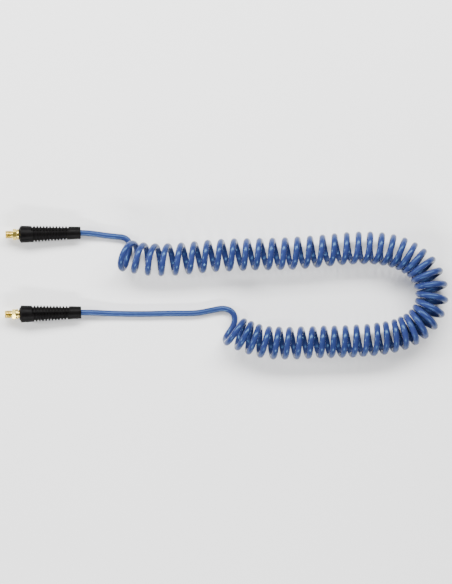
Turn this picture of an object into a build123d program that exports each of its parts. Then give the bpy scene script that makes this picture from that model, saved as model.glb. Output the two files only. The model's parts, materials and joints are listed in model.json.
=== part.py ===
from build123d import *
import os
from math import atan, cos, degrees, hypot, pi, radians, sin, tan

# A coiled polyurethane air hose lying on a flat surface. Each end has a male thread that swivels
# on a crimped stem, and a tapered rubber bend protector. Millimetres; +Z is up; the surface is
# z = 0; the origin lies under the middle of the two end fittings; the coil lies towards +X.

# Hose
hose_diameter = 10.0
hose_bore = 6.5
coil_diameter = 54.5
coil_turns = 50

# Swivelling nipple: a G 1/4 male thread, its hexagon and its waterways
thread_diameter = 13.157
thread_length = 12.0
thread_lead_in = 1.0
thread_relief_diameter = 11.4
thread_relief_width = 1.8
hex_across_flats = 16.0
hex_length = 6.0
hex_corner_angle = 30.0
nipple_bore = 6.0
cone_seat_diameter = 9.4
cone_seat_angle = 60.0

# Stem: a journal for the nipple, a collar, a neck for the ferrule and a barbed spigot
journal_diameter = 9.0
journal_length = 10.9
journal_clearance = 0.05
journal_end_gap = 0.5
stem_bore = 4.6
collar_diameter = 17.2
collar_length = 3.0
collar_chamfer = 0.4
neck_diameter = 7.4
barb_crest_diameter = 7.0
barb_root_diameter = 6.1
barb_count = 5
barb_pitch = 4.4
barb_lead = 1.5

# Seals and swivel parts
o_ring_groove_diameter = 6.6
o_ring_side_gap = 0.34
o_ring_clearance = 0.02
o_ring_spacing = 3.0
o_ring_front_offset = 2.2
snap_wire_diameter = 1.2
snap_gap_angle = 40.0
snap_offset = 2.4
snap_clearance = 0.05
washer_diameter = 14.0
washer_thickness = 0.6
washer_clearance = 0.1
axial_play = 0.05

# Crimped ferrule
ferrule_diameter = 13.0
ferrule_length = 24.0
ferrule_lip = 1.5
ferrule_lip_clearance = 0.05
ferrule_grip = 0.1
crimp_count = 4
crimp_width = 2.2
crimp_depth = 0.45
crimp_pitch = 4.8
ferrule_chamfer = 0.5

# Bend protector
sleeve_length = 102.0
sleeve_mouth_diameter = 17.4
sleeve_front_diameter = 28.4
sleeve_rear_diameter = 20.2
sleeve_nose_length = 3.6
sleeve_rear_chamfer = 0.9
sleeve_stretch = 0.1
sleeve_pocket_spare = 3.5
sleeve_hose_clearance = 0.25
rib_start = 23.0
rib_pitch = 5.25
rib_groove_width = 2.6
rib_groove_depth = 2.3
rib_groove_arc = 190.0
rib_groove_count = 12

# Where the ends lie: side of the part, gap behind the collar, roll of the sleeve and of the hexagon
end_spacing = 131.2
end_yaw = 1.5
ends = {
    "inlet": {"side": 1, "setback": 0.1, "sleeve_roll": -24.0, "hex_roll": 0.0},
    "outlet": {"side": -1, "setback": 1.9, "sleeve_roll": 0.0, "hex_roll": 30.0},
}

# Routes on the surface, chosen by hand, as (x, y). Tails start in their fittings.
straight_past_sleeve = 8.0
inlet_tail_points = [(98, 64.4), (120, 61.7), (134, 60.6), (142.5, 53), (142, 38)]
outlet_tail_points = [
    (115, -65.2),
    (165, -65.9),
    (210, -64.7),
    (251, -65),
    (278, -59.5),
    (298, -55.6),
    (313, -62),
    (316.5, -77),
    (310, -91),
]
coil_points = [
    (133, 31.5),
    (168, 22.5),
    (225, 24.5),
    (285, 31),
    (345, 32.5),
    (405, 33.5),
    (460, 38),
    (510, 43.5),
    (562, 42.5),
    (601, 30),
    (631, 4.5),
    (642.5, -34),
    (631, -71.5),
    (601, -95),
    (562, -106),
    (510, -110.5),
    (455, -111.5),
    (400, -114),
    (350, -111.5),
    (306, -90),
]

# Stations along a fitting, from the tip of the thread towards the hose
nipple_rear = thread_length + hex_length
washer_front = nipple_rear + axial_play
collar_front = washer_front + washer_thickness
journal_front = collar_front - journal_length
collar_rear = collar_front + collar_length
hose_start = collar_rear + ferrule_lip
stem_rear = hose_start + barb_count * barb_pitch + barb_lead
ferrule_rear = collar_rear + ferrule_length
snap_station = nipple_rear - snap_offset
o_ring_stations = {
    "front": journal_front + o_ring_front_offset,
    "rear": journal_front + o_ring_front_offset + o_ring_spacing,
}

# Radii that follow from the sizes above
journal_radius = journal_diameter / 2
nipple_inner_radius = journal_radius + journal_clearance
o_ring_inner_radius = o_ring_groove_diameter / 2
o_ring_outer_radius = nipple_inner_radius - o_ring_clearance
o_ring_section = o_ring_outer_radius - o_ring_inner_radius
o_ring_groove_width = o_ring_section + 2 * o_ring_side_gap
snap_groove_width = snap_wire_diameter + 2 * snap_clearance
snap_ring_radius = journal_radius
coil_axis_height = coil_diameter / 2
tail_height = hose_diameter / 2

# The taper of the sleeve decides how a fitting lies: its lower side touches the surface
sleeve_taper = atan(
    (sleeve_front_diameter - sleeve_rear_diameter) / 2 / (sleeve_length - sleeve_nose_length)
)


class End:
    """One end of the hose: its axis in space and the planes that its pieces are drawn on."""

    def __init__(self, name, side, setback, sleeve_roll, hex_roll):
        self.name = name
        self.sleeve_front = collar_rear + setback
        self.sleeve_rear = self.sleeve_front + sleeve_length
        self.sleeve_roll = sleeve_roll
        self.hex_roll = hex_roll
        yaw = radians(end_yaw)
        widest = self.sleeve_front + sleeve_nose_length
        radius_at_tip = sleeve_front_diameter / 2 + widest * tan(sleeve_taper)
        self.along = Vector(
            cos(sleeve_taper) * cos(yaw), cos(sleeve_taper) * sin(yaw), -sin(sleeve_taper)
        )
        self.across = Vector(-sin(yaw), cos(yaw), 0)
        self.up = self.along.cross(self.across)
        self.tip = Vector(
            -self.sleeve_rear * cos(yaw) / 2,
            side * end_spacing / 2 - widest * sin(yaw),
            radius_at_tip * cos(sleeve_taper),
        )
        self.axis = Axis(self.tip, self.along)

    def at(self, station):
        """The point on the axis at a distance from the tip of the thread."""
        return self.tip + self.along * station

    def profile(self, angle=0.0):
        """A plane through the axis: x along it, y away from it, turned from straight up."""
        turn = radians(angle)
        away = self.up * cos(turn) - self.across * sin(turn)
        return Plane(self.tip, x_dir=self.along, z_dir=self.along.cross(away))

    def section(self, station):
        """A plane square to the axis, its x running to the side."""
        return Plane(self.at(station), x_dir=self.across, z_dir=self.along)


def turned(end, outline):
    """A turned piece, from its outline as (station, radius) points."""
    with BuildPart() as piece:
        with BuildSketch(end.profile()):
            with BuildLine():
                Polyline(*outline, close=True)
            make_face()
        revolve(axis=end.axis)
    return piece.part


def wire_ring(end, station, radius, wire, arc=360.0):
    """A ring of round wire, or of round cord, about the axis."""
    with BuildPart() as ring:
        with BuildSketch(end.profile()):
            with Locations((station, radius)):
                Circle(wire / 2)
        revolve(axis=end.axis, revolution_arc=arc)
    return ring.part


def swivel_nipple(end):
    """The male thread and its hexagon, bored out behind for the journal of the stem."""
    corner_radius = hex_across_flats / 2 / cos(radians(30))
    flat_radius = hex_across_flats / 2
    corner_run = (corner_radius - flat_radius) * tan(radians(hex_corner_angle))
    thread_radius = thread_diameter / 2
    relief_radius = thread_relief_diameter / 2
    relief_start = thread_length - thread_relief_width
    bore_radius = nipple_bore / 2
    seat_radius = cone_seat_diameter / 2
    seat_depth = (seat_radius - bore_radius) / tan(radians(cone_seat_angle / 2))
    counterbore_floor = journal_front - journal_end_gap
    with BuildPart() as nipple:
        with BuildSketch(end.section(thread_length)):
            RegularPolygon(
                radius=flat_radius, side_count=6, major_radius=False, rotation=end.hex_roll
            )
        extrude(amount=hex_length)
        with BuildSketch(end.profile()):
            with BuildLine():
                Polyline(
                    (thread_length, 0),
                    (thread_length, flat_radius),
                    (thread_length + corner_run, corner_radius),
                    (nipple_rear - corner_run, corner_radius),
                    (nipple_rear, flat_radius),
                    (nipple_rear, 0),
                    close=True,
                )
            make_face()
        revolve(axis=end.axis, mode=Mode.INTERSECT)
        with BuildSketch(end.profile()):
            with BuildLine():
                Polyline(
                    (0, 0),
                    (0, thread_radius - thread_lead_in),
                    (thread_lead_in, thread_radius),
                    (relief_start, thread_radius),
                    (relief_start, relief_radius),
                    (thread_length, relief_radius),
                    (thread_length, 0),
                    close=True,
                )
            make_face()
        revolve(axis=end.axis)
        with BuildSketch(end.profile()):
            with BuildLine():
                Polyline(
                    (0, 0),
                    (0, seat_radius),
                    (seat_depth, bore_radius),
                    (counterbore_floor, bore_radius),
                    (counterbore_floor, nipple_inner_radius),
                    (nipple_rear, nipple_inner_radius),
                    (nipple_rear, 0),
                    close=True,
                )
            make_face()
        revolve(axis=end.axis, mode=Mode.SUBTRACT)
        with BuildSketch(end.profile()):
            with Locations((snap_station, snap_ring_radius)):
                Rectangle(snap_groove_width, snap_wire_diameter + 2 * snap_clearance)
        revolve(axis=end.axis, mode=Mode.SUBTRACT)
    return nipple.part


def stem(end):
    """The brass stem: grooved journal, collar, neck and barbed spigot, bored through."""
    collar_radius = collar_diameter / 2
    crest = barb_crest_diameter / 2
    root = barb_root_diameter / 2
    bore = stem_bore / 2
    outline = [
        (journal_front, bore),
        (journal_front, journal_radius - collar_chamfer),
        (journal_front + collar_chamfer, journal_radius),
        (collar_front, journal_radius),
        (collar_front, collar_radius - collar_chamfer),
        (collar_front + collar_chamfer, collar_radius),
        (collar_rear - collar_chamfer, collar_radius),
        (collar_rear, collar_radius - collar_chamfer),
        (collar_rear, neck_diameter / 2),
        (hose_start, neck_diameter / 2),
        (hose_start, root),
        (hose_start + barb_lead, root),
    ]
    for tooth in range(barb_count):
        start = hose_start + barb_lead + tooth * barb_pitch
        outline += [(start, crest), (start + barb_pitch, root)]
    outline += [(stem_rear, bore)]
    with BuildPart() as spigot:
        add(turned(end, outline))
        with BuildSketch(end.profile()):
            for station in o_ring_stations.values():
                with Locations((station, o_ring_inner_radius)):
                    Rectangle(o_ring_groove_width, journal_radius, align=(Align.CENTER, Align.MIN))
            with Locations((snap_station, snap_ring_radius)):
                Rectangle(snap_groove_width, snap_wire_diameter + 2 * snap_clearance)
        revolve(axis=end.axis, mode=Mode.SUBTRACT)
    return spigot.part


def o_ring(end, station):
    """An O-ring at its squeezed height, from the floor of its groove to the wall of the nipple."""
    middle = (o_ring_inner_radius + o_ring_outer_radius) / 2
    return wire_ring(end, station, middle, o_ring_section)


def thrust_washer(end):
    """The low-friction washer between the hexagon and the collar."""
    inner = nipple_inner_radius + washer_clearance
    outer = washer_diameter / 2
    outline = [
        (washer_front, inner),
        (washer_front, outer),
        (collar_front, outer),
        (collar_front, inner),
    ]
    return turned(end, outline)


def ferrule(end):
    """The crimped sleeve: its lip sits on the neck of the stem, its wall grips the hose."""
    outer = ferrule_diameter / 2
    inner = hose_diameter / 2 - ferrule_grip
    lip = neck_diameter / 2 + ferrule_lip_clearance
    outline = [
        (collar_rear, lip),
        (collar_rear, outer - ferrule_chamfer),
        (collar_rear + ferrule_chamfer, outer),
    ]
    first_crimp = ferrule_rear - ferrule_chamfer - crimp_count * crimp_pitch
    for ring in range(crimp_count):
        start = first_crimp + ring * crimp_pitch
        slope = crimp_depth
        outline += [
            (start, outer),
            (start + slope, outer - crimp_depth),
            (start + crimp_width - slope, outer - crimp_depth),
            (start + crimp_width, outer),
        ]
    outline += [
        (ferrule_rear - ferrule_chamfer, outer),
        (ferrule_rear, outer - ferrule_chamfer),
        (ferrule_rear, inner),
        (hose_start, inner),
        (hose_start, lip),
    ]
    return turned(end, outline)


def bend_protector(end):
    """The rubber sleeve: tapered, with staggered half-ring grooves that let it bend."""
    front = end.sleeve_front
    rear = end.sleeve_rear
    nose = front + sleeve_nose_length
    pocket = front + ferrule_length + sleeve_pocket_spare
    pocket_radius = ferrule_diameter / 2 - sleeve_stretch
    hose_hole = hose_diameter / 2 + sleeve_hose_clearance
    rear_radius = sleeve_rear_diameter / 2

    def outer(station):
        return sleeve_front_diameter / 2 - (station - nose) * tan(sleeve_taper)

    outline = [
        (front, pocket_radius),
        (front, sleeve_mouth_diameter / 2),
        (nose, sleeve_front_diameter / 2),
        (rear - sleeve_rear_chamfer, outer(rear - sleeve_rear_chamfer)),
        (rear, rear_radius - sleeve_rear_chamfer),
        (rear, hose_hole),
        (pocket, hose_hole),
        (pocket, pocket_radius),
    ]
    with BuildPart() as sleeve:
        add(turned(end, outline))
        for facing, stagger, count in ((-90, 0, rib_groove_count), (90, 0.5, rib_groove_count - 1)):
            start_angle = end.sleeve_roll + facing - rib_groove_arc / 2
            with BuildSketch(end.profile(start_angle)):
                for groove in range(count):
                    station = front + rib_start + (groove + stagger) * rib_pitch
                    floor = outer(station) - rib_groove_depth
                    with Locations((station, floor)):
                        Rectangle(
                            rib_groove_width, 2 * rib_groove_depth, align=(Align.CENTER, Align.MIN)
                        )
            revolve(axis=end.axis, revolution_arc=rib_groove_arc, mode=Mode.SUBTRACT)
    return sleeve.part


def corner_radii(name, route):
    """Each corner's arc: 0.45 of the shorter run beside it over the tangent of half its turn."""
    radii = []
    for before, corner, after in zip(route, route[1:], route[2:]):
        run_in = corner - before
        run_out = after - corner
        half_turn = radians(run_in.get_angle(run_out)) / 2
        radii.append(0.45 * min(run_in.length, run_out.length) / tan(half_turn))
    print(f"{name} arc radii:", ", ".join(f"{r:.0f}" for r in radii))
    return radii


def tube(name, route, outer_diameter, inner_diameter=0.0):
    """A round tube, or a solid one, along straight runs joined by tangent arcs."""
    with BuildPart() as swept:
        with BuildLine() as path:
            FilletPolyline(*route, radius=corner_radii(name, route))
        with BuildSketch(Plane(path.line @ 0, z_dir=path.line % 0)):
            Circle(outer_diameter / 2)
            if inner_diameter:
                Circle(inner_diameter / 2, mode=Mode.SUBTRACT)
        sweep()
    length = path.wire().length
    section = pi / 4 * (outer_diameter**2 - inner_diameter**2)
    ratio = swept.part.volume / (section * length)
    print(f"{name}: {length:.1f} mm long, volume over section times length {ratio:.5f}")
    return swept.part, length


def tail_route(end, points):
    """From the barbs, straight out of the bend protector, then down onto the surface."""
    fitting_run = [end.at(hose_start), end.at(end.sleeve_rear + straight_past_sleeve)]
    return fitting_run + [Vector(x, y, tail_height) for x, y in points]


def save(part, label):
    """Name a finished piece and write its file."""
    part.label = label
    export_step(part, f"parts/{label}.step")


def main():
    os.makedirs("parts", exist_ok=True)
    tail_points = {"inlet": inlet_tail_points, "outlet": outlet_tail_points}
    lengths = {}
    for name, facts in ends.items():
        end = End(name, **facts)
        save(swivel_nipple(end), f"{name}_swivel_nipple")
        save(stem(end), f"{name}_stem")
        for place, station in o_ring_stations.items():
            save(o_ring(end, station), f"{name}_o_ring_{place}")
        ring_arc = 360 - snap_gap_angle
        ring = wire_ring(end, snap_station, snap_ring_radius, snap_wire_diameter, ring_arc)
        save(ring, f"{name}_snap_ring")
        save(thrust_washer(end), f"{name}_thrust_washer")
        save(ferrule(end), f"{name}_ferrule")
        save(bend_protector(end), f"{name}_bend_protector")
        route = tail_route(end, tail_points[name])
        tail, lengths[name] = tube(f"{name} tail", route, hose_diameter, hose_bore)
        save(tail, f"hose_tail_{name}")

    # The coil is one fat tube of its outer diameter
    coil_route = [Vector(x, y, coil_axis_height) for x, y in coil_points]
    coil, coil_run = tube("coil", coil_route, coil_diameter)
    save(coil, "hose_coil")
    turn_length = hypot(pi * (coil_diameter - hose_diameter), coil_run / coil_turns)
    lengths["coil"] = coil_turns * turn_length
    print("hose lengths:", {k: round(v) for k, v in lengths.items()}, round(sum(lengths.values())))
    print(f"fittings pitch down {degrees(sleeve_taper):.2f} degrees towards the hose")


main()
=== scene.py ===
import json
import math
import random

import bpy
from mathutils import Matrix, Vector


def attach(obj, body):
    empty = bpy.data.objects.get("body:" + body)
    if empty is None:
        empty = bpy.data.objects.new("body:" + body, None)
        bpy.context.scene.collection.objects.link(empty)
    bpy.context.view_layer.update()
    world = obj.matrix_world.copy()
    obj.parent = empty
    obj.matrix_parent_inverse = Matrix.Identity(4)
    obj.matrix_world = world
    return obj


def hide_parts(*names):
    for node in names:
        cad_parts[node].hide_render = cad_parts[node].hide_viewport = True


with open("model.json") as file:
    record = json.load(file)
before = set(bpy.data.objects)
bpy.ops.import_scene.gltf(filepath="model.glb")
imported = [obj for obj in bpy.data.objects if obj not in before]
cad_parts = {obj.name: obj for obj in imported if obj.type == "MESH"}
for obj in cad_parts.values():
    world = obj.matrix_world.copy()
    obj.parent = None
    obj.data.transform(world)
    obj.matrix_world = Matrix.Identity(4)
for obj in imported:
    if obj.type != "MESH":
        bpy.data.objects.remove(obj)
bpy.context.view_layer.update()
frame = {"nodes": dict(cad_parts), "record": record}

MM = 0.001
ENDS = ("inlet", "outlet")

# Hose and coil, in millimetres: the same sizes and routes as the CAD tubes
HOSE_DIAMETER = 10.0
COIL_DIAMETER = 54.5
INLET_TAIL = [(98, 64.4), (120, 61.7), (134, 60.6), (142.5, 53), (142, 38)]
OUTLET_TAIL = [
    (115, -65.2), (165, -65.9), (210, -64.7), (251, -65), (278, -59.5),
    (298, -55.6), (313, -62), (316.5, -77), (310, -91),
]
COIL_AXIS = [
    (133, 31.5), (168, 22.5), (225, 24.5), (285, 31), (345, 32.5), (405, 33.5), (460, 38),
    (510, 43.5), (562, 42.5), (601, 30), (631, 4.5), (642.5, -34), (631, -71.5), (601, -95),
    (562, -106), (510, -110.5), (455, -111.5), (400, -114), (350, -111.5), (306, -90),
]
STRAIGHT_PAST_SLEEVE = 8.0

# How the turns lie, as (turn, millimetres) stations with straight lines between them. A turn
# starts at the coil's inner side. Pitch is the spacing of the turns along the axis, lean sets the
# inner side of a turn back, and tilt sets its top back and its bottom forward.
TURN_PITCH = [
    (0, 17.0), (2, 21.3), (3.5, 23.1), (6, 21.6), (9, 20.7), (12, 21.2), (15, 20.9), (18, 18.5),
    (21, 16.9), (23, 15.1), (25, 14.7), (26.5, 17.4), (28, 19.6), (30, 16.7), (32, 15.3),
    (34, 15.5), (36, 16.3), (39, 17.1), (42, 19.3), (45, 18.4), (47, 17.3), (50, 18.9),
]
TURN_LEAN = [
    (0, -0.4), (2, -1.6), (3, 1.5), (5, 2.6), (7, 1.2), (9, -3.2), (11, -3.0), (13, 0.4),
    (15, 2.2), (19, 1.0), (21, 0.0), (32, 0.0), (34, 2.5), (36, 2.0), (38, 0.0), (40, -2.4),
    (42, -0.5), (46, -1.2), (47, -3.4), (48, -2.0), (49, 1.9),
]
TURN_TILT = [
    (0, 10.0), (0.75, 5.8), (1.25, 3.8), (2.25, 3.8), (3.25, 2.2), (4.25, 0.6), (5, 0.0),
    (9, -0.4), (16, -2.0), (20, -3.6), (23, -2.5), (26, 0.0), (31, 0.0), (34, 1.4), (36, 2.2),
    (39, 1.6), (42, 0.0),
]
FIRST_PLACE = 2.6
LAST_TURN = 49.5
POINTS_PER_TURN = 16
# No two turns are alike: each leans by up to SWAY of its own, and is wider or narrower by SWELL
WOBBLE_SEED = 7
SWAY = 0.5
SWELL = 0.3
# The first and last half turns lie loose: they come off the surface and go down to it
INLET_RISE = [(137.5, 24, 7), (135, 14, 13), (131.5, 9, 20.5)]
OUTLET_FALL = [(300.5, -110, 20), (300, -106, 13), (303.5, -99, 7)]

# Nipple, as distances from the tip of the thread and as radii
THREAD_MIDDLE = 5.6
THREAD_PITCH = 1.337
THREAD_RADIUS = 6.5785
THREAD_ROOT = 5.72
THREAD_END = 10.2
THREAD_LEAD_IN = 1.0
THREAD_RUN_OUT_SLOPE = 1.6
THREAD_FLANK_SLOPE = 1.25
THREAD_RING_STEP = 0.07
RELIEF_RADIUS = 5.7
HEX_FRONT = 12.0
HEX_REAR = 18.0
HEX_FLAT = 8.0
HEX_FACE = HEX_FLAT * 0.97
HEX_CORNER_BREAK = 0.12
HEX_CHAMFER = math.radians(30)
HEX_ROLL = {"inlet": 0.0, "outlet": 30.0}
HEX_RINGS = 24
HEX_RING_INSET = 0.02
NIPPLE_BORE = 3.0
NIPPLE_MOUTH = 4.5
NIPPLE_MOUTH_DEPTH = 3.0
NIPPLE_FACE = 5.5
SOCKET_RADIUS = 4.55
SOCKET_BOTTOM = 7.25

# Stem and ferrule
STEM_FRONT = 7.75
STEM_REAR = 46.65
STEM_BORE = 2.3
JOURNAL_RADIUS = 4.5
JOURNAL_CHAMFER = 0.4
COLLAR_FRONT = 18.65
COLLAR_REAR = 21.65
COLLAR_RADIUS = 8.6
SPIGOT_SHOULDER = 3.7
SPIGOT_RADIUS = 3.05
HOSE_START = 23.15
FERRULE_REAR = 45.65
FERRULE_RADIUS = 6.5
FERRULE_MOUTH = 3.75
FERRULE_GRIP = 5.05
CRIMP_COUNT = 4
CRIMP_PITCH = 4.8
CRIMP_LENGTH = 2.2
CRIMP_SLOPE = 0.45
CRIMP_RADIUS = 6.05
CRIMP_END_GAP = 0.5

# Rubber sleeve, as distances from its front and as radii
SLEEVE_SETBACK = {"inlet": 0.1, "outlet": 1.9}
SLEEVE_ROLL = {"inlet": -24.0, "outlet": 0.0}
SLEEVE_LENGTH = 102.0
SLEEVE_NOSE = 3.6
SLEEVE_MOUTH = 8.7
SLEEVE_FRONT = 14.2
SLEEVE_REAR = 10.1
SLEEVE_GRIP = 5.25
SLEEVE_SOCKET = 6.45
SLEEVE_SOCKET_END = 28.0
RIB_START = 23.0
RIB_PITCH = 5.25
RIB_COUNT = 12
RIB_HALF_WIDTH = 1.3
RIB_DEPTH = 2.3
RIB_WALL = 0.75
RIB_HALF_ARC = math.radians(95)
RIB_MARGIN = 2.0
RIBBED_RING_STEP = 0.24
PLAIN_RING_STEP = 1.2

# Fineness of the curves and of the round pieces
AXIS_RESOLUTION = 24
HOSE_RESOLUTION = 8
HOSE_BEVEL_RESOLUTION = 12
NIPPLE_SIDES = 192
TURNED_SIDES = 128
SLEEVE_SIDES = 160
CORNER_STEPS = 4
CORNER_SHARE = 0.45
SHARP_ANGLE = math.radians(38)

# Camera, straight above: how much of the surface it shows from top to bottom, and from where
VIEW_HEIGHT = 963.6
CAMERA_CENTRE = (301.1, -29.4)
CAMERA_HEIGHT = 6000.0
SENSOR = 36.0

# In metres, the place that the lamps shine at
LIT_PLACE = (0.3, -0.03, 0.0)


def along_and_tip(name):
    """The direction from the thread to the hose, and the tip of the thread, from its mount."""
    mount = next(m for m in frame["record"]["mounts"] if m["name"] == f"{name}_thread")
    along = -Vector(mount["axis"]).normalized()
    return along, Vector(mount["pos_m"]) - along * THREAD_MIDDLE * MM


def end_matrix(name):
    """A fitting's own axes: x from the thread's tip to the hose, y to the side, z up."""
    along, tip = along_and_tip(name)
    across = Vector((0, 0, 1)).cross(along).normalized()
    up = along.cross(across)
    turn = Matrix((along, across, up)).transposed().to_4x4()
    return Matrix.Translation(tip) @ turn


def station_value(stations, at):
    """The value at a place along a list of (place, value) stations."""
    for (a, low), (b, high) in zip(stations, stations[1:]):
        if at <= b:
            return low + (high - low) * max(at - a, 0) / (b - a)
    return stations[-1][1]


def smooth_step(x):
    """An even S from 0 to 1, level outside them."""
    x = min(max(x, 0.0), 1.0)
    return x * x * (3 - 2 * x)


# Camera -------------------------------------------------------------------------------------


def make_camera():
    data = bpy.data.cameras.new("camera")
    data.sensor_width = SENSOR
    data.lens = SENSOR * CAMERA_HEIGHT / VIEW_HEIGHT
    data.clip_end = 100
    camera = bpy.data.objects.new("camera", data)
    bpy.context.scene.collection.objects.link(camera)
    camera.location = (CAMERA_CENTRE[0] * MM, CAMERA_CENTRE[1] * MM, CAMERA_HEIGHT * MM)
    bpy.context.scene.camera = camera


# Hose ---------------------------------------------------------------------------------------


def nurbs(name, points):
    """A curve of one open, smooth spline with these control points."""
    curve = bpy.data.curves.new(name, "CURVE")
    curve.dimensions = "3D"
    spline = curve.splines.new("NURBS")
    spline.points.add(len(points) - 1)
    for control, place in zip(spline.points, points):
        control.co = (*place, 1)
    spline.order_u = 3
    spline.use_endpoint_u = True
    return curve


class CoilAxis:
    """The line down the middle of the coil: where it is, and where its left side is."""

    def __init__(self):
        height = COIL_DIAMETER / 2
        curve = nurbs("coil_axis", [Vector((x, y, height)) * MM for x, y in COIL_AXIS])
        curve.resolution_u = AXIS_RESOLUTION
        carrier = bpy.data.objects.new("coil_axis", curve)
        mesh = bpy.data.meshes.new_from_object(carrier)
        self.points = [v.co.copy() for v in mesh.vertices]
        bpy.data.objects.remove(carrier)
        bpy.data.meshes.remove(mesh)
        self.lengths = [0.0]
        for a, b in zip(self.points, self.points[1:]):
            self.lengths.append(self.lengths[-1] + (b - a).length)

    def frame_at(self, length):
        """Point, forward direction and left side at a length along the axis, or past its ends."""
        last = len(self.points) - 2
        i = 0
        while i < last and self.lengths[i + 1] < length:
            i += 1
        a, b = self.points[i], self.points[i + 1]
        forward = (b - a).normalized()
        point = a + forward * (length - self.lengths[i])
        return point, forward, Vector((-forward.y, forward.x, 0))


def coil_turns():
    """The control points of the turns, from the inlet's end to the outlet's."""
    axis = CoilAxis()
    rng = random.Random(WOBBLE_SEED)
    wobble = [(rng.uniform(-1, 1), rng.uniform(-1, 1)) for _ in range(math.ceil(LAST_TURN) + 1)]
    # A quadratic spline runs inside its control points, so they stand out by this much
    outset = 2 / (1 + math.cos(math.pi / POINTS_PER_TURN) ** 2)
    place = FIRST_PLACE
    points = []
    for k in range(round(LAST_TURN * POINTS_PER_TURN) + 1):
        turn = k / POINTS_PER_TURN
        n, share = divmod(turn, 1)
        before, after = wobble[int(n)], wobble[int(n) + 1]
        sway = before[0] + (after[0] - before[0]) * share
        swell = before[1] + (after[1] - before[1]) * share
        radius = (COIL_DIAMETER - HOSE_DIAMETER) / 2 + SWELL * swell
        angle = 2 * math.pi * turn
        across, lift = -math.cos(angle), math.sin(angle)
        lean = station_value(TURN_LEAN, turn) + SWAY * sway
        ahead = lean * (across - 1) / 2 - station_value(TURN_TILT, turn) * lift
        centre, forward, left = axis.frame_at(place * MM)
        point = centre + left * across * radius * outset * MM + forward * ahead * MM
        height = HOSE_DIAMETER / 2 + radius * (1 + outset * lift)
        points.append(Vector((point.x, point.y, height * MM)))
        place += station_value(TURN_PITCH, turn + 0.5 / POINTS_PER_TURN) / POINTS_PER_TURN
    return points


def tail_points(name, route):
    """From the barbs, straight out of the sleeve, then along the surface."""
    along, tip = along_and_tip(name)
    leaves = COLLAR_REAR + SLEEVE_SETBACK[name] + SLEEVE_LENGTH + STRAIGHT_PAST_SLEEVE
    corner = tip + along * leaves * MM
    floor = [Vector((x, y, HOSE_DIAMETER / 2)) * MM for x, y in route]
    beside = corner - along * (floor[0] - corner).length
    return [tip + along * HOSE_START * MM, beside, corner] + floor


def make_hose():
    inlet = tail_points("inlet", INLET_TAIL) + [Vector(p) * MM for p in INLET_RISE]
    outlet = tail_points("outlet", OUTLET_TAIL) + [Vector(p) * MM for p in OUTLET_FALL[::-1]]
    curve = nurbs("hose", inlet + coil_turns() + outlet[::-1])
    curve.resolution_u = HOSE_RESOLUTION
    # The radius is the points' own, because a curve's box reaches that far around them
    points = curve.splines[0].points
    points.foreach_set("radius", [HOSE_DIAMETER / 2 * MM] * len(points))
    curve.bevel_depth = 1
    curve.bevel_resolution = HOSE_BEVEL_RESOLUTION
    curve.use_fill_caps = True
    hose = bpy.data.objects.new("hose", curve)
    bpy.context.scene.collection.objects.link(hose)
    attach(hose, "hose")
    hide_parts("hose_tail_inlet", "hose_coil", "hose_tail_outlet")
    return hose


# Round pieces -------------------------------------------------------------------------------


def ring(station, radius, count):
    """One ring of points in millimetres; radius is a number or a function of the angle."""
    points = []
    for j in range(count):
        angle = 2 * math.pi * j / count
        r = radius(angle) if callable(radius) else radius
        points.append((station * MM, r * math.cos(angle) * MM, r * math.sin(angle) * MM))
    return points


def ring_mesh(name, rings):
    """A closed mesh through rings of as many points each, the last joined to the first."""
    count = len(rings[0])
    faces = []
    for i in range(len(rings)):
        here, there = i * count, (i + 1) % len(rings) * count
        for j in range(count):
            k = (j + 1) % count
            faces.append((here + j, here + k, there + k, there + j))
    mesh = bpy.data.meshes.new(name)
    mesh.from_pydata([p for points in rings for p in points], [], faces)
    mesh.update()
    return mesh


def rounded(outline, radius):
    """A closed (station, radius) outline with its corners rounded, less where a side is short."""
    done = []
    for i, corner in enumerate(outline):
        corner = Vector(corner)
        back = Vector(outline[i - 1]) - corner
        ahead = Vector(outline[(i + 1) % len(outline)]) - corner
        back = back.normalized() * min(radius, back.length * CORNER_SHARE)
        ahead = ahead.normalized() * min(radius, ahead.length * CORNER_SHARE)
        for s in range(CORNER_STEPS + 1):
            t = s / CORNER_STEPS
            done.append(corner + back * (1 - t) ** 2 + ahead * t**2)
    return done


def place_piece(name, mesh, end, body, node):
    """Put a mesh made about the fitting's axis in its place and let it stand for its node."""
    mesh.transform(end_matrix(end))
    piece = bpy.data.objects.new(name, mesh)
    bpy.context.scene.collection.objects.link(piece)
    mesh.polygons.foreach_set("use_smooth", [True] * len(mesh.polygons))
    mesh.set_sharp_from_angle(angle=SHARP_ANGLE)
    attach(piece, body)
    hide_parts(node)
    return piece


def thread_radius(station, angle):
    """A right-hand 55 degree thread with rounded crests and roots, chamfered at both ends."""
    phase = (station / THREAD_PITCH - angle / (2 * math.pi)) % 1
    flank = smooth_step(0.5 + THREAD_FLANK_SLOPE * (0.5 - abs(2 * phase - 1)))
    cut = THREAD_ROOT + (THREAD_RADIUS - THREAD_ROOT) * flank
    lead_in = THREAD_RADIUS - THREAD_LEAD_IN + station
    run_out = RELIEF_RADIUS + (THREAD_END - station) * THREAD_RUN_OUT_SLOPE
    return min(cut, lead_in, max(run_out, RELIEF_RADIUS))


def hex_radius(station, angle, roll):
    """A hexagon with its corners turned down at both faces and slightly broken along its edges."""
    sixth = math.pi / 3
    off_corner = (angle - roll) % sixth
    flat = HEX_FLAT / math.cos(off_corner - sixth / 2)
    corner = HEX_FLAT / math.cos(sixth / 2)
    from_face = min(station - HEX_FRONT, HEX_REAR - station)
    turned = HEX_FLAT + from_face / math.tan(HEX_CHAMFER)
    return min(flat, turned, corner - HEX_CORNER_BREAK)


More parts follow.
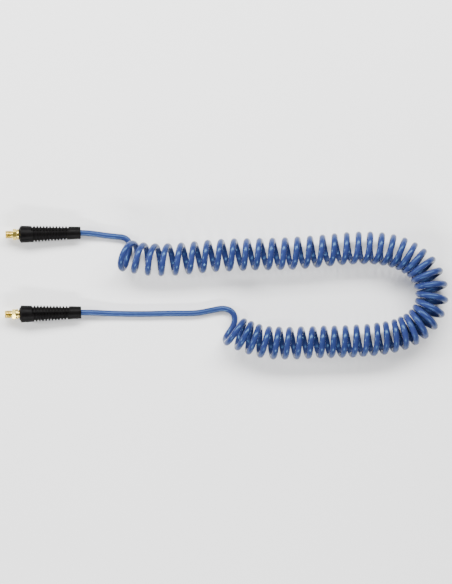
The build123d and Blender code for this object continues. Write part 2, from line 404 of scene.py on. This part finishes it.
def thread_rings():
    rings = []
    for step in range(round(THREAD_END / THREAD_RING_STEP) + 1):
        s = min(step * THREAD_RING_STEP, THREAD_END)
        rings.append(ring(s, lambda a, s=s: thread_radius(s, a), NIPPLE_SIDES))
    return rings


def hexagon_rings(roll):
    """Rings from just behind the front face to just before the rear one, closest at the faces."""
    rings = []
    first, last = HEX_FRONT + HEX_RING_INSET, HEX_REAR - HEX_RING_INSET
    for step in range(HEX_RINGS + 1):
        eased = 0.5 - 0.5 * math.cos(math.pi * step / HEX_RINGS)
        s = first + (last - first) * eased
        rings.append(ring(s, lambda a, s=s: hex_radius(s, a, roll), NIPPLE_SIDES))
    return rings


def make_nipple(name):
    relief = [
        (THREAD_END + 0.15, RELIEF_RADIUS), (HEX_FRONT - 0.4, RELIEF_RADIUS),
        (HEX_FRONT - 0.15, RELIEF_RADIUS + 0.1), (HEX_FRONT, RELIEF_RADIUS + 0.5),
        (HEX_FRONT, HEX_FACE),
    ]
    inside = [
        (HEX_REAR, HEX_FACE), (HEX_REAR, SOCKET_RADIUS + 0.2), (HEX_REAR - 0.2, SOCKET_RADIUS),
        (SOCKET_BOTTOM, SOCKET_RADIUS), (SOCKET_BOTTOM, NIPPLE_BORE),
        (NIPPLE_MOUTH_DEPTH, NIPPLE_BORE), (0.25, NIPPLE_MOUTH), (0.0, NIPPLE_MOUTH + 0.25),
        (0.0, NIPPLE_FACE),
    ]
    rings = thread_rings()
    rings += [ring(s, r, NIPPLE_SIDES) for s, r in relief]
    rings += hexagon_rings(math.radians(HEX_ROLL[name]))
    rings += [ring(s, r, NIPPLE_SIDES) for s, r in inside]
    mesh = ring_mesh(f"{name}_nipple", rings)
    node = f"{name}_swivel_nipple"
    return place_piece(f"{name}_threaded_nipple", mesh, name, node, node)


def turned_piece(name, end, outline, node, edge):
    """A lathe-turned piece from its closed outline, its edges rounded by so much."""
    rings = [ring(p.x, p.y, TURNED_SIDES) for p in rounded(outline, edge)]
    mesh = ring_mesh(name, rings)
    return place_piece(name, mesh, end, "hose", node)


def make_stem(name):
    outline = [
        (STEM_FRONT, STEM_BORE), (STEM_FRONT, JOURNAL_RADIUS - JOURNAL_CHAMFER),
        (STEM_FRONT + JOURNAL_CHAMFER, JOURNAL_RADIUS), (COLLAR_FRONT, JOURNAL_RADIUS),
        (COLLAR_FRONT, COLLAR_RADIUS), (COLLAR_REAR, COLLAR_RADIUS),
        (COLLAR_REAR, SPIGOT_SHOULDER), (HOSE_START, SPIGOT_SHOULDER),
        (HOSE_START, SPIGOT_RADIUS), (STEM_REAR, SPIGOT_RADIUS), (STEM_REAR, STEM_BORE),
    ]
    return turned_piece(f"{name}_collar_stem", name, outline, f"{name}_stem", 0.35)


def make_ferrule(name):
    outline = [(COLLAR_REAR, FERRULE_MOUTH), (COLLAR_REAR, FERRULE_RADIUS)]
    for k in range(CRIMP_COUNT):
        start = FERRULE_REAR - CRIMP_END_GAP - (CRIMP_COUNT - k) * CRIMP_PITCH
        outline += [
            (start, FERRULE_RADIUS), (start + CRIMP_SLOPE, CRIMP_RADIUS),
            (start + CRIMP_LENGTH - CRIMP_SLOPE, CRIMP_RADIUS),
            (start + CRIMP_LENGTH, FERRULE_RADIUS),
        ]
    outline += [
        (FERRULE_REAR, FERRULE_RADIUS), (FERRULE_REAR, FERRULE_GRIP),
        (HOSE_START, FERRULE_GRIP), (HOSE_START, FERRULE_MOUTH),
    ]
    piece_name = f"{name}_crimped_ferrule"
    return turned_piece(piece_name, name, outline, f"{name}_ferrule", 0.25)


def sleeve_radius(station):
    """The sleeve's outside without its grooves, by distance from its front."""
    taper = (SLEEVE_FRONT - SLEEVE_REAR) / (SLEEVE_LENGTH - SLEEVE_NOSE)
    return SLEEVE_FRONT - (station - SLEEVE_NOSE) * taper


def groove_depth(station, angle):
    """How deep the staggered half-ring grooves cut at a place on the sleeve."""
    depth = 0.0
    for facing, stagger, count in ((0.0, 0.0, RIB_COUNT), (math.pi, 0.5, RIB_COUNT - 1)):
        nearest = round((station - RIB_START) / RIB_PITCH - stagger)
        nearest = min(max(nearest, 0), count - 1)
        middle = RIB_START + (nearest + stagger) * RIB_PITCH
        off = abs((angle - facing + math.pi) % (2 * math.pi) - math.pi)
        past_end = (off - RIB_HALF_ARC) * sleeve_radius(station) + RIB_HALF_WIDTH
        reach = math.hypot(station - middle, max(past_end, 0.0))
        wall = smooth_step((RIB_HALF_WIDTH + RIB_WALL / 3 - reach) / RIB_WALL)
        depth = max(depth, RIB_DEPTH * wall)
    return depth


def grooved_rings(front, roll):
    """The sleeve's outside between its rounded ends, with the most rings where the grooves are."""
    rings = []
    s = SLEEVE_NOSE + 0.5
    while s < SLEEVE_LENGTH - PLAIN_RING_STEP:
        def radius(angle, s=s):
            return sleeve_radius(s) - groove_depth(s, angle - roll)
        rings.append(ring(front + s, radius, SLEEVE_SIDES))
        ribbed = RIB_START - RIB_MARGIN < s < RIB_START + RIB_COUNT * RIB_PITCH
        s += RIBBED_RING_STEP if ribbed else PLAIN_RING_STEP
    return rings


def make_sleeve(name):
    front = COLLAR_REAR + SLEEVE_SETBACK[name]
    rear = SLEEVE_LENGTH
    nose = [
        (0.0, SLEEVE_MOUTH - 0.9), (0.0, SLEEVE_MOUTH - 0.3), (0.15, SLEEVE_MOUTH),
        (1.8, 11.5), (3.0, 13.35), (SLEEVE_NOSE - 0.1, SLEEVE_FRONT - 0.25),
    ]
    tail = [
        (rear - 1.1, SLEEVE_REAR), (rear - 0.5, SLEEVE_REAR - 0.15),
        (rear - 0.12, SLEEVE_REAR - 0.6), (rear, SLEEVE_REAR - 1.2), (rear, SLEEVE_GRIP + 0.75),
        (rear - 0.15, SLEEVE_GRIP + 0.3), (rear - 0.6, SLEEVE_GRIP),
        (SLEEVE_SOCKET_END, SLEEVE_GRIP), (SLEEVE_SOCKET_END - 0.5, SLEEVE_SOCKET),
        (1.2, SLEEVE_SOCKET), (0.4, SLEEVE_SOCKET + 0.15), (0.0, SLEEVE_SOCKET + 0.55),
    ]
    rings = [ring(front + s, r, SLEEVE_SIDES) for s, r in nose]
    rings += grooved_rings(front, math.radians(SLEEVE_ROLL[name]))
    rings += [ring(front + s, r, SLEEVE_SIDES) for s, r in tail]
    mesh = ring_mesh(f"{name}_sleeve", rings)
    node = f"{name}_bend_protector"
    return place_piece(f"{name}_rubber_sleeve", mesh, name, "hose", node)


# Materials ----------------------------------------------------------------------------------


class Shader:
    """A material and short ways to add nodes to it."""

    def __init__(self, name):
        self.material = bpy.data.materials.new(name)
        self.material.use_nodes = True
        self.nodes = self.material.node_tree.nodes
        self.links = self.material.node_tree.links
        self.surface = self.nodes["Principled BSDF"]

    def set(self, **values):
        for key, value in values.items():
            self.surface.inputs[key.replace("_", " ")].default_value = value

    def add(self, kind, **inputs):
        node = self.nodes.new(kind)
        for key, value in inputs.items():
            socket = node.inputs[key.replace("_", " ")]
            if hasattr(value, "is_output"):
                self.links.new(value, socket)
            else:
                socket.default_value = value
        return node

    def place(self):
        """Where a point is on its piece."""
        return self.add("ShaderNodeTexCoord").outputs["Object"]

    def noise(self, scale, detail=3.0):
        node = self.add("ShaderNodeTexNoise", Vector=self.place(), Scale=scale, Detail=detail)
        return node.outputs["Fac"]

    def ramp(self, value, low, high):
        """Two colours, mixed by a value over the middle of its range."""
        node = self.add("ShaderNodeValToRGB", Fac=value)
        elements = node.color_ramp.elements
        elements[0].position, elements[1].position = 0.3, 0.7
        elements[0].color, elements[1].color = low, high
        return node.outputs["Color"]

    def spread(self, value, low, high):
        """A number between low and high."""
        node = self.nodes.new("ShaderNodeMapRange")
        self.links.new(value, node.inputs["Value"])
        node.inputs["To Min"].default_value = low
        node.inputs["To Max"].default_value = high
        return node.outputs["Result"]

    def bump(self, height, distance, strength, under=None):
        """A normal roughened by a height, over another bump where there is one."""
        node = self.add("ShaderNodeBump", Height=height, Distance=distance, Strength=strength)
        if under is not None:
            self.links.new(under, node.inputs["Normal"])
        return node.outputs["Normal"]

    def link(self, output, socket):
        self.links.new(output, self.surface.inputs[socket])


def grey(value):
    return (value, value, value, 1)


def polyurethane():
    """Glossy blue polyurethane: slightly cloudy, with a faintly uneven skin."""
    m = Shader("blue_polyurethane")
    cloud = m.noise(22.0, 4.0)
    m.link(m.ramp(cloud, (0.0165, 0.0265, 0.103, 1), (0.024, 0.0365, 0.137, 1)), "Base Color")
    m.link(m.spread(m.noise(90.0, 5.0), 0.18, 0.25), "Roughness")
    fine = m.bump(m.noise(900.0, 2.0), 0.00001, 0.3)
    m.link(m.bump(m.noise(140.0, 3.0), 0.00008, 0.35, fine), "Normal")
    m.set(Specular_IOR_Level=0.42, Specular_Tint=(0.3, 0.65, 1, 1), Subsurface_Weight=0.1)
    m.set(Subsurface_Radius=(0.2, 0.45, 1.0), Subsurface_Scale=0.002)
    return m.material


def rubber():
    """Moulded black rubber: satin, finely grained, a little grey where it has been handled."""
    m = Shader("black_rubber")
    handled = m.noise(60.0, 6.0)
    m.link(m.ramp(handled, (0.0015, 0.0013, 0.0014, 1), (0.004, 0.0036, 0.0037, 1)), "Base Color")
    m.link(m.spread(m.noise(160.0, 6.0), 0.38, 0.54), "Roughness")
    grain = m.bump(m.noise(3200.0, 2.0), 0.00005, 0.5)
    m.link(m.bump(m.noise(420.0, 3.0), 0.00010, 0.4, grain), "Normal")
    m.set(Specular_IOR_Level=0.06)
    return m.material


def brass(name, low, high, rough):
    """Turned brass: fine rings from the lathe, slight tarnish."""
    m = Shader(name)
    m.link(m.ramp(m.noise(260.0, 5.0), low, high), "Base Color")
    own = m.add("ShaderNodeMapping", Vector=m.place())
    own.vector_type = "TEXTURE"
    own.inputs["Rotation"].default_value = end_matrix("inlet").to_euler()
    rings = m.add("ShaderNodeMapping", Vector=own.outputs["Vector"], Scale=(5200, 60, 60))
    lathe = m.add("ShaderNodeTexNoise", Vector=rings.outputs["Vector"], Scale=1.0, Detail=2.0)
    m.link(m.spread(lathe.outputs["Fac"], rough - 0.08, rough + 0.12), "Roughness")
    m.link(m.bump(lathe.outputs["Fac"], 0.00002, 0.6), "Normal")
    m.set(Metallic=1.0)
    return m.material


def plain(name, colour, rough, metallic=0.0):
    """Small hidden pieces: one tint with fine unevenness."""
    m = Shader(name)
    dark = tuple(c * 0.8 for c in colour[:3]) + (1,)
    m.link(m.ramp(m.noise(500.0), dark, colour), "Base Color")
    m.link(m.spread(m.noise(900.0), rough - 0.06, rough + 0.06), "Roughness")
    m.set(Metallic=metallic)
    return m.material


def dress_node(node, material):
    """Give a CAD node its material."""
    mesh = frame["nodes"][node].data
    mesh.materials.clear()
    mesh.materials.append(material)


# Stage --------------------------------------------------------------------------------------


def make_floor():
    bpy.ops.mesh.primitive_plane_add(size=40, location=(0, 0, -0.0002))
    floor = bpy.context.active_object
    floor.name = "floor"
    m = Shader("pale_floor")
    m.link(m.ramp(m.noise(3.0, 2.0), grey(0.93), grey(0.95)), "Base Color")
    m.set(Roughness=0.9, Specular_IOR_Level=0.1)
    floor.data.materials.append(m.material)


def softbox(name, place, size, power):
    """A rectangular lamp, with its place and size in metres, that shines at the hose."""
    data = bpy.data.lights.new(name, "AREA")
    data.shape = "RECTANGLE"
    data.size, data.size_y = size
    data.energy = power
    light = bpy.data.objects.new(name, data)
    bpy.context.scene.collection.objects.link(light)
    light.location = place
    aim = Vector(LIT_PLACE) - Vector(place)
    light.rotation_euler = aim.to_track_quat("-Z", "Y").to_euler()


def make_lights():
    world = bpy.data.worlds.new("studio")
    world.use_nodes = True
    background = world.node_tree.nodes["Background"]
    background.inputs["Color"].default_value = (0.95, 0.97, 1, 1)
    background.inputs["Strength"].default_value = 0.15
    bpy.context.scene.world = world
    softbox("softbox_far", (0.3, 1.44, 1.62), (4.0, 0.72), 190)
    softbox("strip_near", (0.3, -1.87, 1.2), (1.4, 0.2), 54)
    softbox("lamp_left", (-1.7, 0.0, 0.9), (0.3, 0.3), 32)


make_camera()
hose = make_hose()
hose.data.materials.append(polyurethane())
sleeve_rubber = rubber()
turned_brass = brass("turned_brass", (0.54, 0.41, 0.09, 1), (0.70, 0.55, 0.15, 1), 0.26)
ferrule_brass = brass("ferrule_brass", (0.56, 0.40, 0.13, 1), (0.74, 0.56, 0.20, 1), 0.30)
seal = plain("seal_rubber", (0.02, 0.02, 0.02, 1), 0.6)
spring_steel = plain("spring_steel", (0.5, 0.5, 0.52, 1), 0.3, 1.0)
washer = plain("washer_plastic", (0.03, 0.03, 0.03, 1), 0.5)
for end in ENDS:
    make_nipple(end).data.materials.append(turned_brass)
    make_stem(end).data.materials.append(turned_brass)
    make_ferrule(end).data.materials.append(ferrule_brass)
    make_sleeve(end).data.materials.append(sleeve_rubber)
    dress_node(f"{end}_o_ring_front", seal)
    dress_node(f"{end}_o_ring_rear", seal)
    dress_node(f"{end}_snap_ring", spring_steel)
    dress_node(f"{end}_thrust_washer", washer)
make_floor()
make_lights()
